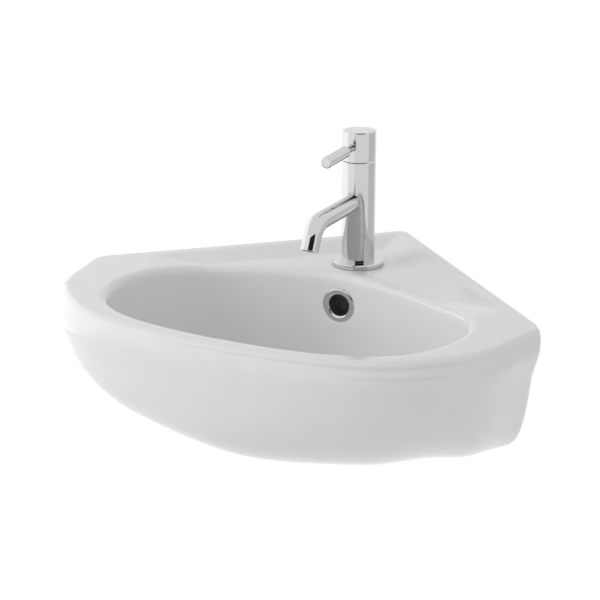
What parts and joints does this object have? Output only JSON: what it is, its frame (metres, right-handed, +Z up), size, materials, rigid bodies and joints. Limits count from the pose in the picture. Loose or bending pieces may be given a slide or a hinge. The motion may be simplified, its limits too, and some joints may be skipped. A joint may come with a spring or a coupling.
{
  "type": "corner basin",
  "caption": "Wall-hung ceramic corner basin with a bowed front, a dished tap ledge, a single lever mixer tap, a ringed overflow and a waste hole.",
  "frame": {"origin": "the corner between the two walls, at rim level", "axes": "+X to the right as seen from the front, -Y towards the front of the bowl, +Z up"},
  "size_m": [0.448, 0.3813, 0.2697],
  "materials": {
    "glaze": "white glazed vitreous china, high gloss",
    "chrome": "polished chrome plate on brass",
    "rubber": "black sealing rubber",
    "white_plastic": "white moulded plastic",
    "alumina": "lapped alumina ceramic",
    "steel": "stainless steel",
    "brass": "plain machined brass"
  },
  "bodies": {
    "basin": {"basin_body": "glaze", "overflow_ring": "chrome", "base_seal": "rubber", "base_flange": "chrome", "tap_body": "chrome", "spout": "chrome", "aerator_housing": "chrome", "aerator_insert": "white_plastic", "aerator_seal": "rubber", "cartridge_base": "white_plastic", "cartridge_body": "white_plastic", "disc_seal": "rubber", "fixed_disc": "alumina", "cartridge_nut": "brass", "fixing_stud": "brass", "horseshoe_gasket": "rubber", "horseshoe_washer": "steel", "stud_nut": "brass"},
    "lever_carrier": {"cartridge_carrier": "white_plastic", "stem_pin": "steel"},
    "lever": {"cartridge_stem": "brass", "lever_cap": "chrome", "lever_handle": "chrome"},
    "moving_disc": {"moving_disc": "alumina"}
  },
  "joints": [
    {"name": "lever_turn", "type": "hinge", "parent": "basin", "child": "lever_carrier", "pos_m": [0, -0.1078, 0.0886], "axis": [0, 0, 1], "range_deg": [-50, 50]},
    {"name": "lever_lift", "type": "hinge", "parent": "lever_carrier", "child": "lever", "pos_m": [0, -0.1078, 0.0886], "axis": [-1, 0, 0], "range_deg": [0, 20]},
    {"name": "disc_slide", "type": "slide", "parent": "lever_carrier", "child": "moving_disc", "axis": [0, -1, 0], "range_m": [0, 0.0036]}
  ],
  "couplings": [
    {"joint": "disc_slide", "follows": "lever_lift", "m_per_rad": 0.01029}
  ]
}
